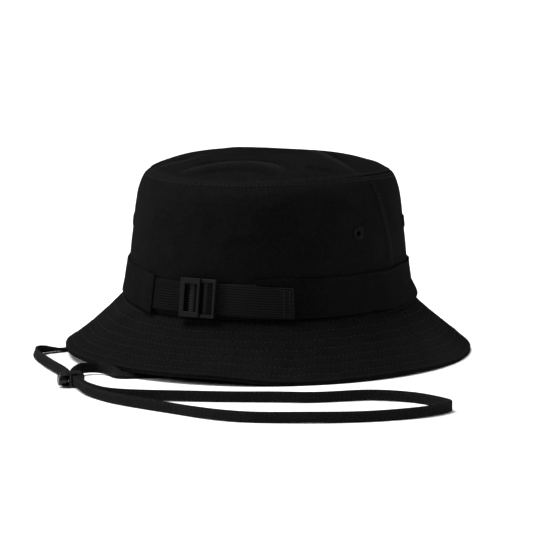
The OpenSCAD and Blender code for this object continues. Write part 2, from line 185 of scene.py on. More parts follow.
def both_faces(values):
    """Values over one face of a layer, repeated for the other face as sheet() lays it out."""
    return np.concatenate([values, values[:, ::-1]], axis=1)


# ===== meshes =====
def finish_mesh(name, points, faces, uv=None):
    mesh = bpy.data.meshes.new(name)
    mesh.from_pydata((np.asarray(points) * MM).tolist(), [], faces)
    if uv is not None:
        layer = mesh.uv_layers.new(name="UVMap")
        caps = np.array([i for face in faces[len(uv) // 4:] for i in face], int)
        all_uv = np.concatenate([uv, np.asarray(points)[caps, :2]])
        layer.data.foreach_set("uv", (all_uv * MM).ravel())
    bm = bmesh.new()
    bm.from_mesh(mesh)
    bmesh.ops.recalc_face_normals(bm, faces=bm.faces)
    bm.to_mesh(mesh)
    bm.free()
    mesh.polygons.foreach_set("use_smooth", [True] * len(mesh.polygons))
    return add_object(name, mesh)


def skin(name, grid, round_j=False, round_k=True, caps=None):
    """A surface over grid[j][k]. Caps close it: strip and round at the ends of j, disc at the ends of k."""
    m, n = grid.shape[:2]
    spans = np.arange(m if round_j else m - 1), np.arange(n if round_k else n - 1)
    j, k = (side.ravel() for side in np.meshgrid(*spans, indexing="ij"))
    corners = [(j, k), (j + 1, k), (j + 1, k + 1), (j, k + 1)]
    faces = np.stack([(a % m) * n + b % n for a, b in corners], 1).tolist()
    along = arc(np.concatenate([grid[:, n // 4], grid[:1, n // 4]]))
    across = arc(np.concatenate([grid[m // 2], grid[m // 2][:1]]))
    uv = np.stack([np.stack([along[a], across[b]], 1) for a, b in corners], 1).reshape(-1, 2)
    if caps == "strip":
        ends = [(r, i) for r in (0, (m - 1) * n) for i in range(n // 2 - 1)]
        faces += [[r + i, r + i + 1, r + n - 2 - i, r + n - 1 - i] for r, i in ends]
    if caps == "round":
        faces += [list(range(n)), list(range((m - 1) * n, m * n))]
    if caps == "disc":
        faces += [[a * n for a in range(m)], [a * n + n - 1 for a in range(m)]]
    return finish_mesh(name, grid.reshape(-1, 3), faces, uv)


def sheet(name, outer, inner, closed=False):
    """A closed layer between two grids of points."""
    grid = np.concatenate([outer, inner[:, ::-1]], axis=1)
    return skin(name, grid, closed, True, None if closed else "strip")


def add_modifier(obj, kind, **settings):
    made = obj.modifiers.new(kind.lower(), kind)
    for key, value in settings.items():
        setattr(made, key, value)


def apply_modifiers(obj):
    graph = bpy.context.evaluated_depsgraph_get()
    mesh = bpy.data.meshes.new_from_object(obj.evaluated_get(graph))
    obj.modifiers.clear()
    obj.data = mesh


def mark(obj, name, values):
    """Gives each point of a mesh a value that its material reads."""
    layer = obj.data.attributes.new(name, "FLOAT", "POINT")
    layer.data.foreach_set("value", values.ravel().astype(np.float32))


def on_row(surface, turn, up, *more):
    """Points along a row on a surface of (up, turn, *more), with the surface's normals there."""
    p = surface(up, turn, *more)
    n = np.cross(surface(up, turn + 0.02, *more) - p, surface(up + 0.0005, turn, *more) - p)
    return p, unit(n)


# A stitch's cross-sections: place along it, size, and how far it bows out, as shares of its length and radius
STITCH_SIDES = 6
STITCH_RINGS = [(-0.5, 0.3, -0.35), (-0.36, 1, 0.1), (0, 1.08, 0.25), (0.36, 1, 0.1), (0.5, 0.3, -0.35)]


def read_along(values, s, at):
    """Points or directions given at lengths s of a path, read at other lengths."""
    return np.stack([np.interp(at, s, values[:, i]) for i in range(3)], 1)


def stitches(name, paths, pitch, length, radius, material=None):
    """Rows of thread stitches on the hat, one mesh. Each path is (points, normals)."""
    points, faces = [], []
    for path, normal in paths:
        s = arc(path)
        count = max(1, int(s[-1] / pitch))
        at = (np.arange(count) + 0.5) * s[-1] / count
        centre = read_along(path, s, at)
        up = unit(read_along(normal, s, at))
        along = unit(read_along(path, s, at + 0.4) - read_along(path, s, at - 0.4))
        side = unit(np.cross(along, up))
        for c, t, b, w in zip(centre, along, side, up):
            base = len(points)
            for reach, size, bow in STITCH_RINGS:
                for q in range(STITCH_SIDES):
                    g = 2 * math.pi * q / STITCH_SIDES
                    ring = size * (b * math.cos(g) + w * math.sin(g)) + bow * w
                    points.append(c + t * reach * length + radius * ring)
            for r in range(len(STITCH_RINGS) - 1):
                for q in range(STITCH_SIDES):
                    a = base + r * STITCH_SIDES
                    q1 = (q + 1) % STITCH_SIDES
                    faces.append([a + q, a + q1, a + STITCH_SIDES + q1, a + STITCH_SIDES + q])
            last = base + (len(STITCH_RINGS) - 1) * STITCH_SIDES
            faces.append(list(range(base, base + STITCH_SIDES)))
            faces.append(list(range(last, last + STITCH_SIDES)))
    return dress(finish_mesh(name, points, faces), "hat", material or THREAD, "thread")


# ===== materials =====
class Nodes:
    """Adds nodes to a material's tree and links them as they are made."""

    def __init__(self, name):
        self.material = bpy.data.materials.new(name)
        self.material.use_nodes = True
        self.tree = self.material.node_tree
        self.tree.nodes.clear()
        self.place = self.add("TexCoord", {})["Object"]

    def add(self, kind, inputs, **settings):
        made = self.tree.nodes.new("ShaderNode" + kind)
        for key, value in settings.items():
            setattr(made, key, value)
        for key, value in inputs.items():
            if isinstance(value, bpy.types.NodeSocket):
                self.tree.links.new(value, made.inputs[key])
            else:
                made.inputs[key].default_value = value
        return made.outputs

    def calc(self, operation, *values):
        return self.add("Math", dict(enumerate(values)), operation=operation)[0]

    def noise(self, scale, detail=2.0, roughness=0.5):
        sockets = {"Vector": self.place, "Scale": scale, "Detail": detail, "Roughness": roughness}
        return self.add("TexNoise", sockets)["Fac"]

    def attribute(self, name):
        return self.add("Attribute", {}, attribute_name=name)["Fac"]

    def uv(self):
        return self.add("UVMap", {}, uv_map="UVMap")["UV"]

    def colour(self, factor, dark, light):
        """A colour that runs from dark to light."""
        mix = self.add("Mix", {"Factor": factor}, data_type="RGBA")
        node = mix[2].node
        node.inputs[6].default_value = (*dark, 1)
        node.inputs[7].default_value = (*light, 1)
        return mix[2]

    def surface(self, colour, height, distance, strength, **settings):
        normal = self.add("Bump", {"Height": height, "Distance": distance, "Strength": strength})["Normal"]
        sockets = {"Base Color": colour, "Normal": normal}
        sockets.update({key.replace("_", " "): value for key, value in settings.items()})
        shader = self.add("BsdfPrincipled", sockets)["BSDF"]
        self.add("OutputMaterial", {"Surface": shader})
        return self.material


def grey(value, warm=0.0):
    return (value * (1 + warm), value, value * (1 - warm))


def twill(name, value, pitch=0.62, lint=1.0):
    """Cotton twill: a fine diagonal, uneven yarns, a little lint, and a value from the mesh that lightens
    crests and ridges, partly as wear and partly as painted highlight, and darkens fold hollows as painted
    shade.
    """
    n = Nodes(name)
    x, y, _ = n.add("SeparateXYZ", {"Vector": n.uv()}).values()
    yarns = n.noise(1500.0, 3.0, 0.6)
    slub = n.noise(420.0)
    grain = n.noise(1050.0, 2.0, 0.6)
    patches = n.noise(45.0)
    turns = 2 * math.pi / (pitch * MM)
    wobble = n.calc("MULTIPLY", slub, 1.6)
    diagonal = n.calc("ADD", n.calc("MULTIPLY", n.calc("ADD", x, y), turns), wobble)
    ridge = n.calc("SINE", diagonal)
    across = n.calc("SINE", n.calc("MULTIPLY", n.calc("SUBTRACT", x, y), turns * 0.83))
    weave = n.calc("MULTIPLY_ADD", across, 0.35, ridge)
    tone = n.calc("MULTIPLY_ADD", weave, 0.13, n.calc("MULTIPLY_ADD", yarns, 1.3, -0.20))
    tone = n.calc("ADD", tone, n.calc("MULTIPLY_ADD", patches, 0.4, -0.2))
    tone = n.calc("ADD", tone, n.calc("MULTIPLY_ADD", grain, 1.7, -0.85))
    # Painted light: the mesh's value lightens ridges, crests and seam edges as painted highlight, partly
    # wear, and darkens fold hollows as painted shade.
    tone = n.calc("MULTIPLY_ADD", n.attribute("wear_and_painted_light"), 0.34, tone)
    specks = n.calc("GREATER_THAN", n.noise(1100.0, 0.0), 0.82)
    tone = n.calc("ADD", tone, n.calc("MULTIPLY", specks, 0.9 * lint))
    colour = n.colour(tone, grey(value * 0.45), grey(value * 1.5, -0.01))
    colour.node.clamp_factor = False
    height = n.calc("MULTIPLY_ADD", weave, 0.5, n.calc("MULTIPLY", yarns, 2.2))
    return n.surface(colour, height, 0.00016, 0.8, Roughness=1.0, Specular_IOR_Level=0.01)


def thread(name, value):
    """Twisted sewing thread."""
    n = Nodes(name)
    twist = n.noise(3500.0, 1.0)
    colour = n.colour(twist, grey(value * 0.6), grey(value * 1.5))
    return n.surface(colour, twist, 0.0001, 0.6, Roughness=0.7, Specular_IOR_Level=0.03)


def ribbed(name, value, pitch):
    """Woven tape: a brick of yarns across and along the piece's own length."""
    n = Nodes(name)
    size = {"Vector": n.uv(), "Scale": 1000.0, "Mortar Size": 0.12 * pitch, "Mortar Smooth": 0.6,
            "Brick Width": pitch * 1.3, "Row Height": pitch * 0.55, "Bias": 0.0}
    bricks = n.add("TexBrick", size)["Fac"]
    gaps = n.calc("SUBTRACT", 1.0, bricks)
    yarns = n.noise(2600.0, 2.0, 0.6)
    tone = n.calc("MULTIPLY_ADD", gaps, 0.62, n.calc("MULTIPLY", yarns, 0.55))
    colour = n.colour(tone, grey(value * 0.3), grey(value * 1.45))
    height = n.calc("MULTIPLY_ADD", gaps, 1.0, n.calc("MULTIPLY", yarns, 0.7))
    return n.surface(colour, height, 0.00014, 0.8, Roughness=0.85, Specular_IOR_Level=0.02)


def nylon(name, value):
    """Nylon webbing, its colour darkened between its ribs and across the weave's grid as painted shade, and
    scaled along its length as painted light, by a value the mesh gives.
    """
    n = Nodes(name)
    yarns = n.noise(2600.0, 2.0, 0.6)
    tone = n.calc("MULTIPLY", n.attribute("rib"), n.calc("MULTIPLY_ADD", yarns, 1.4, 0.3))
    colour = n.colour(tone, grey(value * 0.12), grey(value * 1.9))
    colour.node.clamp_factor = False
    return n.surface(colour, yarns, 0.0001, 0.7, Roughness=0.7, Specular_IOR_Level=0.03)


def plastic(name, value, roughness, level):
    """Moulded acetal: an even, faintly grained skin with handling marks."""
    n = Nodes(name)
    grain = n.noise(2200.0)
    marks = n.noise(260.0, 3.0, 0.7)
    colour = n.colour(marks, grey(value * 0.85), grey(value * 1.2))
    height = n.calc("MULTIPLY_ADD", marks, 0.6, grain)
    return n.surface(colour, height, 0.00003, 0.5, Roughness=roughness, Specular_IOR_Level=level)


def steel(name):
    """Drawn spring wire."""
    n = Nodes(name)
    drawn = n.noise(1800.0, 3.0)
    colour = n.colour(drawn, grey(0.32), grey(0.5))
    return n.surface(colour, drawn, 0.00002, 0.5, Roughness=0.3, Metallic=1.0)


def fleece(name, value):
    """Stiff non-woven interlining."""
    n = Nodes(name)
    fibres = n.noise(700.0, 5.0, 0.75)
    colour = n.colour(fibres, grey(value * 0.6), grey(value * 1.4))
    return n.surface(colour, fibres, 0.0002, 0.8, Roughness=0.95, Specular_IOR_Level=0.03)


CLOTH = twill("cotton_twill", 0.0056)
BAND_CLOTH = twill("cotton_twill_band", 0.0052)
STRAP_CLOTH = twill("strap_twill", 0.0105, pitch=0.5, lint=0.5)
THREAD = thread("sewing_thread", 0.0145)
DULL_THREAD = thread("band_thread", 0.0085)
EYELET_THREAD = thread("eyelet_thread", 0.0062)
BINDING = ribbed("seam_binding", 0.007, 0.9)
SWEATBAND = ribbed("grosgrain_sweatband", 0.008, 1.1)
WEBBING = nylon("nylon_webbing", 0.0066)
BUCKLE_PLASTIC = plastic("satin_acetal", 0.0050, 0.48, 0.07)
LOCK_PLASTIC = plastic("gloss_acetal", 0.0075, 0.30, 0.22)
STEEL = steel("spring_steel")
INTERLINING = fleece("interlining", 0.02)


def dress(obj, body, material, slot, *nodes):
    """Gives a finished piece its material, and lets it ride on a body in place of CAD nodes. The slot
    argument is not used.
    """
    obj.data.materials.clear()
    obj.data.materials.append(material)
    if body:
        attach(obj, body)
    if nodes:
        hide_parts(*nodes)
    return obj


# ===== chin strap: first, as the cord =====
# x, y, z, then 0 where it lies flat or 1 where it stands on its edge, and its share of the width
STRAP_IN = [
    [STRAP_X, 0, STRAP_EXIT_Z, 0, 1], [90, -1, 22, 0, 1], [83, -7, 8, 0, 1], [66, -25, 1.6, 0, 1],
    [40, -58, 1.3, 0, 1], [10, -96, 1.1, 0, 1], [-14, -122, 1.1, 0, 1], [-27, -134, 1.15, 0, 1],
    [-36, -139.2, 2.6, 0.3, 1], [-46, -135, 3.75, 0.92, 1], [-55.5, -133.5, 4.2, 1, 1],
    [-61.5, -140, 4.6, 1, 1], [-61.5, -149.5, 4.8, 1, 1],
]
STRAP_FAR = [
    [-24, -197.5, 4.3, 1, 1], [-8, -203, 3.7, 1, 1], [14, -199.5, 3.5, 1, 1], [48, -187, 3.5, 1, 1],
    [82, -172, 3.5, 1, 1], [108, -161, 3.5, 1, 1], [136, -139, 3.5, 1, 1], [164, -133, 3.5, 1, 1],
    [188, -142, 3.5, 1, 1],
]
STRAP_NEAR = [
    [195.5, -152, 3.5, 1, 1], [187, -175, 3.5, 1, 1], [160, -203, 3.5, 1, 1], [124, -224, 3.5, 1, 1],
    [88, -235, 3.5, 1, 1], [48, -228, 3.5, 1, 1], [6, -217.5, 3.5, 1, 1], [-20, -204, 4, 1, 1],
]
STRAP_OUT = [
    [-67, -156, 4.7, 0.95, 1], [-96, -128, 4.1, 0.87, 1], [-120, -101, 3.8, 0.84, 1],
    [-125.5, -85.5, 3.2, 0.6, 1], [-117, -68, 1.4, 0.03, 1], [-101, -44, 1.3, 0, 1], [-90, -20, 3.5, 0, 1],
    [-89.5, -4, 16, 0, 1], [-STRAP_X, 0, STRAP_EXIT_Z, 0, 1],
]
LOCK_Z = 4.8
RUN_OFF = 1.15
PINCH = 0.93
STRAP_ROW = 2.15


def on_lock(s, t):
    """A point of the route in the cord lock: s along it, t across from its middle."""
    c, d = math.cos(LOCK_TURN), math.sin(LOCK_TURN)
    return [LOCK_AT[0] + s * c - t * d, LOCK_AT[1] + s * d + t * c, LOCK_Z, 1, PINCH]


def smooth_route(path, per):
    """A Catmull-Rom curve through the route's points."""
    p = np.array(path, float)
    last = len(p) - 1
    out = []
    for k in range(last):
        a, b, c, d = p[max(k - 1, 0)], p[k], p[k + 1], p[min(k + 2, last)]
        for u in np.arange(per) / per:
            out.append(0.5 * (2 * b + (c - a) * u + (2 * a - 5 * b + 4 * c - d) * u ** 2
                              + (3 * b - a - 3 * c + d) * u ** 3))
    return np.array(out + [p[last]])


def strap_frames(path):
    """The directions of a strap's width and thickness along its route."""
    tangent = unit(np.gradient(path[:, :3], axis=0))
    flat = unit(np.stack([tangent[:, 1], -tangent[:, 0], 0 * tangent[:, 0]], 1))
    edge = np.clip(path[:, 3:4], 0, 1) * math.pi / 2
    wide = flat * np.cos(edge) + np.array([0, 0, 1]) * np.sin(edge)
    across = unit(wide - tangent * np.sum(wide * tangent, 1, keepdims=True))
    return across, np.cross(tangent, across)


def strap_sag(path):
    """How far the strap's edges wander from its route."""
    s = arc(path[:, :3])
    return 0.12 * np.sin(s / 11 + np.sin(s / 37))[:, None]


def strap_section():
    """The folded strap's places across, from edge to edge, and its half thickness there."""
    half = STRAP_W / 2
    a = np.concatenate([[-half, -half + 0.08, -half + 0.3, -half + 0.7], np.linspace(-2.45, 2.45, 15),
                        [half - 0.7, half - 0.3, half - 0.08, half]])
    round_off = np.clip((half - np.abs(a)) / 0.85, 0, 1)
    t = STRAP_HALF_T * np.sqrt(1 - (1 - round_off) ** 2.2)
    t = t - 0.22 * hill(np.abs(a) - STRAP_ROW, 0.35)
    return a, np.maximum(t, 0.03)


def strap_tube(name, path):
    across, thick = strap_frames(path)
    a, t = strap_section()
    pucker = 0.07 * np.sin(arc(path[:, :3]) / 0.95)[:, None] * hill(np.abs(a) - 2.9, 0.9)[None, :]
    middle = path[:, None, :3] + across[:, None] * (a[None, :] * path[:, 4:5] + strap_sag(path))[..., None]
    front = middle + thick[:, None] * (t[None, :] + pucker)[..., None]
    back = middle - thick[:, None] * (t[None, :] - pucker)[..., None]
    return sheet(name, front, back)


def strap_rows(path):
    """The four rows of edge stitching on a strap, sunk a little in its faces."""
    across, thick = strap_frames(path)
    found = []
    for edge in (-1, 1):
        row = path[:, :3] + across * (STRAP_ROW * edge * path[:, 4:5] + strap_sag(path))
        for face in (-1, 1):
            found.append((row + thick * (STRAP_HALF_T - 0.2) * face, thick * face))
    return found


strap_points = (STRAP_IN + [on_lock(s, RUN_OFF) for s in (-14, -6, 7, 18)] + STRAP_FAR + STRAP_NEAR
                + [on_lock(s, -RUN_OFF) for s in (18, 7, -6)] + STRAP_OUT)
strap_path = smooth_route(strap_points, 14)
chin_strap = strap_tube("chin_strap_twill", strap_path)
dress(chin_strap, "hat", STRAP_CLOTH, "strap_cloth", "chin_strap")
strap_stitching = stitches("chin_strap_stitching", strap_rows(strap_path), 2.9, 1.7, 0.27)


# ===== crown =====
def inset(f):
    """How far the crown's wall stands in from its lower edge: a smooth curve through the levels of INSET."""
    f = np.clip(f, 0, 1)
    h = np.diff(INSET_F)
    slope = np.diff(INSET) / h
    inner = 2 * slope[:-1] * slope[1:] / (slope[:-1] + slope[1:])
    tangent = np.concatenate([[slope[0]], inner, [slope[-1] * 1.3]])
    k = np.clip(np.searchsorted(INSET_F, f, side="right") - 1, 0, len(h) - 1)
    u = (f - INSET_F[k]) / h[k]
    return ((2 * u ** 3 - 3 * u ** 2 + 1) * INSET[k] + (u ** 3 - 2 * u ** 2 + u) * h[k] * tangent[k]
            + (3 * u ** 2 - 2 * u ** 3) * INSET[k + 1] + (u ** 3 - u ** 2) * h[k] * tangent[k + 1])


def rise(turn):
    """How much higher the crown's lower edge stands than at the front, above all behind the right side."""
    return 6 * near_turn(turn, 196, 56) + 1.5 * near_turn(turn, 30, 60)


# A side seam: its turn at the brim, and the way it leans
LEFT_SEAM, RIGHT_SEAM, RIGHT_SEAM_AHEAD = (0, -1), (180, 1), (-180, 1)
SEAM_GAP = 0.03
FELL_W = 5.6
FELL_ROWS = (1.3, FELL_W - 1.2)


def seam_turn(seam, f):
    """A side seam's turn. The seams lean forward as they near the top."""
    return seam[0] + seam[1] * 7 * np.maximum(0, (f - 0.48) / 0.52) ** 1.5


# Creases in the crown's wall: width, depth, then points as (turn, height)
WALL_CREASES = [
    (3.2, -0.75, (-80, 82), (-73, 83.5), (-65, 84.5)), (3.0, 0.45, (-80, 87.5), (-72, 89), (-64, 89.5)),
    (3.0, -0.7, (-69, 110.5), (-63, 112), (-56, 113.5)), (2.2, -0.35, (-66, 104.5), (-58, 105.5), (-51, 105)),
    (3.6, -0.7, (-24, 115), (-20, 109), (-17, 101)), (3.0, 0.4, (-29, 113), (-25, 104), (-23, 97)),
    (5.0, -0.5, (-104, 108), (-95, 104)), (4.0, -0.4, (-118, 94), (-108, 90)),
    (4.5, -0.45, (-46, 80), (-38, 74)), (4.0, -0.6, (32, 106), (41, 97)), (4.5, -0.5, (66, 84), (78, 88)),
    (3.6, 0.5, (98, 102), (109, 94)), (4.0, -0.6, (126, 78), (137, 82)), (3.8, -0.6, (158, 104), (166, 92)),
    (4.2, -0.5, (204, 100), (216, 94)), (3.6, 0.4, (226, 84), (236, 88)), (3.4, -0.5, (84, 112), (92, 108)),
]


def seam_s(turn):
    """The top seam lies a little way in from the shoulder at the front, where s is 1."""
    return 1 - 0.085 * near_turn(turn, -84, 100)


def seam_f(turn):
    """The same seam as a height up the wall, whose f runs on past 1 over the shoulder."""
    return 1 + (1 - seam_s(turn)) * DOME_W / WALL_ARC


# Folds in the top panel: width, height, then points as (x, y)
TOP_FOLDS = [
    (2.2, 1.7, (-34, -66), (-18, -59), (-5, -51), (11, -46), (25, -47), (42, -53)),
    (3.8, -1.0, (-28, -57), (-8, -43), (12, -38), (28, -40)),
    (3.4, -0.6, (-20, -70), (0, -60), (22, -57), (38, -61)),
    (2.0, 1.5, (-60, -49), (-38, -46), (-26, -24)), (3.2, -0.9, (-50, -38), (-38, -34)),
    (1.9, 1.9, (18, 22), (38, 3), (53, -12), (68, -19), (76, -22)), (3.0, -1.4, (30, 20), (46, 5), (62, -8)),
    (3.4, 0.6, (44, 60), (60, 42), (70, 26)), (4.5, -0.7, (-20, 10), (0, 22), (14, 40)),
    (4.0, 0.6, (-44, 20), (-30, 42), (-10, 56)), (4.0, -0.6, (-60, 4), (-48, 22)),
    (3.0, 0.4, (10, 62), (26, 66)), (2.6, -0.8, (44, -38), (58, -34), (66, -30)),
]


def dome_z(s, turn):
    """The height of the crown's top: s is 0 in the middle and 1 at the shoulder."""
    g = np.radians(turn)
    inside = (1 - s) * DOME_W
    folds = lines(DOME_W * s * np.cos(g), OVAL * DOME_W * s * np.sin(g), TOP_FOLDS) * ease(inside / 9)
    broad = (0.5 * ripple(turn, 51, 3, 8) * ease(inside / 12) + SEAM_WAVE * np.cos(2 * g)) * s * s
    return SEAM_Z + PLY_GAP + TOP_T + DOME_H * (1 - s ** 3.6) + broad + folds


def wall_relief(f, turn):
    """How far the wall stands out of its plain shape: waves, creases, and puckers along the top seam."""
    turn = (turn + 150) % 360 - 150
    down = (seam_f(turn) - f) * WALL_ARC
    upper = ease((f - 0.33) / 0.12)
    broad = 0.42 * ripple(turn, 41, 3, 9) * np.sin(3.3 * f + 0.3)
    broad = broad + 0.30 * ripple(turn, 42, 5, 14) * np.cos(7.1 * f)
    small = 0.10 * ripple(turn + 9 * f, 43, 20, 46) * np.sin(11 * f)
    creases = [(w, d, *[(g * MM_PER_TURN, z) for g, z in points]) for w, d, *points in WALL_CREASES]
    marks = lines(turn * MM_PER_TURN, CROWN_Z0 + f * CROWN_H, creases)
    pucker = 0.12 * hill(down, 6) * ripple(turn, 45, 55, 110)
    edge = 0.35 * hill(down - 0.9, 1.8) - 0.2 * hill(down - 2.4, 0.7)
    return (broad + small + marks) * upper * ease((1 - f) * WALL_ARC / 5) + pucker + edge * (f > 0.8)


def wall(f, turn, off=0.0):
    """A point on the crown's wall, off millimetres outside it. Past f = 1 it runs in over the shoulder."""
    f, turn = np.broadcast_arrays(np.asarray(f, float), np.asarray(turn, float))
    wave = np.maximum(0, (np.minimum(f, 1) - INSET_F[1]) / (1 - INSET_F[1]))
    past = np.maximum(0, f - 1) * WALL_ARC
    tilt = 1.05 * ease((f - 0.9) / 0.12)
    out = off + wall_relief(f, turn)
    base = HALF_W - inset(f) - past
    z = CROWN_Z0 + f * CROWN_H + SEAM_WAVE * np.cos(2 * np.radians(turn)) * wave ** 2
    z = z + rise(turn) * np.maximum(0, 1 - f / 0.6)
    shoulder = dome_z(1 - past / DOME_W, turn) - (TOP_T + PLY_GAP) * (1 - ease(past / 4))
    z = np.where(f > 1, shoulder, z) + out * np.sin(tilt)
    g = np.radians(turn)
    out = out * np.cos(tilt)
    return np.stack([(base + out) * np.cos(g), (OVAL * base + out) * np.sin(g), z], -1)


def wall_f(z):
    return (z - CROWN_Z0) / CROWN_H


def fell(distance):
    """The flat-felled side seam: a raised strip beside the joint, with a groove along each of its rows."""
    plateau = ease(distance / 0.7) * ease((FELL_W - distance) / 0.9 + 0.5)
    return 0.85 * plateau - 0.38 * sum(hill(distance - row, 0.55) for row in FELL_ROWS)


def wall_panel(name, first, last, felled, node):
    """A wall panel between two side seams."""
    up = rows(WALL_ARC, 1.4, 0.6)
    f = up / WALL_ARC
    around = rows(300, 1.5, 1.0)
    start, end = seam_turn(first, f)[None, :] + SEAM_GAP, seam_turn(last, f)[None, :] - SEAM_GAP
    turn = start + (end - start) * (around / 300)[:, None]
    edge = 0.5 * rolled(up, WALL_ARC, 0.6)[None, :] * rolled(around, 300, 1.0)[:, None]
    to_seam = np.radians(np.minimum(turn - start, end - turn)) * WALL_RADIUS
    f = f[None, :]
    ridge = felled * fell(to_seam) * ease((f - 0.3) / 0.05) * ease((1 - f) * WALL_ARC / 3)
    fs = f * (1 + (seam_f(turn) - 1) * ease((f - 0.5) / 0.5))
    obj = sheet(name, wall(fs, turn, -0.5 + edge + ridge), wall(fs, turn, -0.5 - edge))
    # Painted highlight: the felled ridge and the roll just under the top seam are made lighter, standing in
    # for light on raised cloth.
    mark(obj, "wear_and_painted_light", both_faces(0.8 * ridge + hill((1 - f) * WALL_ARC - 0.9, 1.3)))
    return dress(obj, "hat", CLOTH, "cloth", node)


front_panel = wall_panel("crown_front_wall", RIGHT_SEAM_AHEAD, LEFT_SEAM, True, "crown_front_panel")
back_panel = wall_panel("crown_back_wall", LEFT_SEAM, RIGHT_SEAM, False, "crown_back_panel")


def dome(s, turn, drop=0.0):
    """A point on the top panel, which ends at its seam."""
    g = np.radians(turn)
    inside = (seam_s(turn) - s) * DOME_W
    pucker = 0.12 * hill(inside, 7) * ripple(turn, 52, 55, 110) - 0.12 * hill(inside - 2.4, 0.8)
    z = dome_z(s, turn) - drop + pucker
    return xyz(DOME_W * s * np.cos(g), OVAL * DOME_W * s * np.sin(g), z)


def top_panel():
    """The top, in rings from a small disc in the middle out to the seam."""
    out = rows(2 * DOME_W, 1.4, 0.7)
    out = out[out >= DOME_W + 2.4]
    turn = np.arange(0, 360, 0.9)[:, None]
    s = (out / DOME_W - 1)[None, :] * seam_s(turn)
    edge = rolled(out, 2 * DOME_W, 0.7)[None, :]
    faces = [dome(s, turn, TOP_T / 2 * (1 + side * edge)) for side in (-1, 1)]
    grid = np.concatenate([faces[0], faces[1][:, ::-1]], axis=1)
    obj = skin("crown_top_panel", grid, True, False, "disc")
    # Painted light: fold crests are made lighter, partly as wear and partly as painted highlight. Fold
    # hollows are made darker as painted shade, and the strip along the seam lighter as painted highlight.
    folds = np.clip(1.6 * lines(grid[..., 0], grid[..., 1], TOP_FOLDS), -0.6, 2.2)
    seam = 1.1 * hill((seam_s(turn) - s) * DOME_W - 0.8, 1.3)
    mark(obj, "wear_and_painted_light", folds + both_faces(seam))
    dress(obj, "hat", CLOTH, "cloth", "crown_top")


top_panel()


def crown_ring(name, low, high, off, thick, material, slot, node, wavy=0.0):
    """A tape or band round the inside of the crown. Near the top it keeps to the seam."""
    length = (high - low) * WALL_ARC
    up = rows(length, 1.5, 0.4)
    turn = np.arange(0, 360, 0.9)[:, None]
    f = (low + up / WALL_ARC)[None, :] + (seam_f(turn) - 1) * (low > 0.5)
    half = thick / 2 * rolled(up, length, 0.4)[None, :]
    sway = -wavy * (1 + ripple(turn, 61, 6, 22)) * ease(up / length)[None, :]
    outer = wall(f, turn, off - thick / 2 + half + sway)
    inner = wall(f, turn, off - thick / 2 - half + sway)
    dress(sheet(name, outer, inner, True), "hat", material, slot, node)


crown_ring("top_seam_binding", 0.885, 0.98, -1.25, 0.8, BINDING, "binding", "crown_top_binding")
crown_ring("sweatband_grosgrain", -0.02, 0.336, -1.25, 1.0, SWEATBAND, "sweatband", "sweatband", 0.25)


TAPE_W = 9.4


def seam_tape(name, seam, node):
    """The tape that covers a side seam inside the crown."""
    length = 0.51 * WALL_ARC
    up = rows(length, 1.5, 0.3)
    f = 0.35 + up / WALL_ARC
    around = rows(TAPE_W, 0.6, 0.3)
    turn = seam_turn(seam, f)[None, :] + ((around / TAPE_W - 0.5) * 6)[:, None]
    half = 0.25 * rolled(up, length, 0.3)[None, :] * rolled(around, TAPE_W, 0.3)[:, None]
    obj = sheet(name, wall(f[None, :], turn, -1.5 + half), wall(f[None, :], turn, -1.5 - half))
    dress(obj, "hat", BINDING, "binding", node)


seam_tape("side_tape_left", LEFT_SEAM, "side_seam_tape_left")
seam_tape("side_tape_right", RIGHT_SEAM, "side_seam_tape_right")


def crown_stitching():
    """Topstitching below the top seam, and the two rows of each felled side seam."""
    turn = np.arange(0, 360.5, 0.5)
    paths = [on_row(wall, turn, seam_f(turn) - 2.4 / WALL_ARC, 0.02)]
    f = np.linspace(0.31, 0.975, 90)
    for seam, side in ((LEFT_SEAM, -1), (RIGHT_SEAM_AHEAD, 1)):
        for distance in FELL_ROWS:
            away = SEAM_GAP + math.degrees(distance / WALL_RADIUS)
            paths.append(on_row(wall, seam_turn(seam, f) + side * away, f, 0.62))
    stitches("crown_topstitching", paths, 2.8, 1.5, 0.21)


crown_stitching()


def lining_stitching():
    """The rows that hold the sweatband, the binding and the tapes, seen inside the hat."""
    turn = np.arange(0, 360.5, 0.5)
    paths = []
    for f, off in ((0.315, -2.62), (0.895, -2.08), (0.97, -2.08)):
        paths.append(on_row(wall, turn, f + (seam_f(turn) - 1) * (f > 0.5), off))
    f = np.linspace(0.36, 0.85, 70)
    for seam in (LEFT_SEAM, RIGHT_SEAM):
        for shift in (-2.3, 2.3):
            paths.append(on_row(wall, seam_turn(seam, f) + shift, f, -1.78))
    paths = [(p, -n) for p, n in paths]
    stitches("lining_stitching", paths, 3.0, 2.2, 0.2)


lining_stitching()


# ===== eyelets =====
def eyelet_frame(turn):
    """The middle of an eyelet on the wall, with the directions round, up and out."""
    p = math.degrees(math.atan2(math.sin(math.radians(turn)) / OVAL, math.cos(math.radians(turn))))
    f = wall_f(EYELET_Z)
    at = wall(f, p)
    around = unit(wall(f, p + 0.5) - at)
    out = unit(np.cross(around, wall(f + 0.01, p) - at))
    return at, around, np.cross(out, around), out


# An eyelet's rim in section, as (distance from its middle, distance out of the wall)
EYELET_OUTLINE = [
    (1.36, -0.8), (1.36, 0.05), (1.5, 0.4), (1.9, 0.66), (2.5, 0.78), (3.15, 0.78), (3.8, 0.64),
    (4.25, 0.4), (4.42, 0.12), (3.4, 0.02), (2.5, -0.2), (2.45, -0.9), (3.4, -1.15), (4.2, -1.35),
    (4.2, -1.6), (3.6, -1.9), (2.7, -2.05), (1.95, -1.95), (1.6, -1.6),
]
EYELET_HEART = (3.0, -0.45)
EYELET_HOLE = 2.55
STRANDS = 42


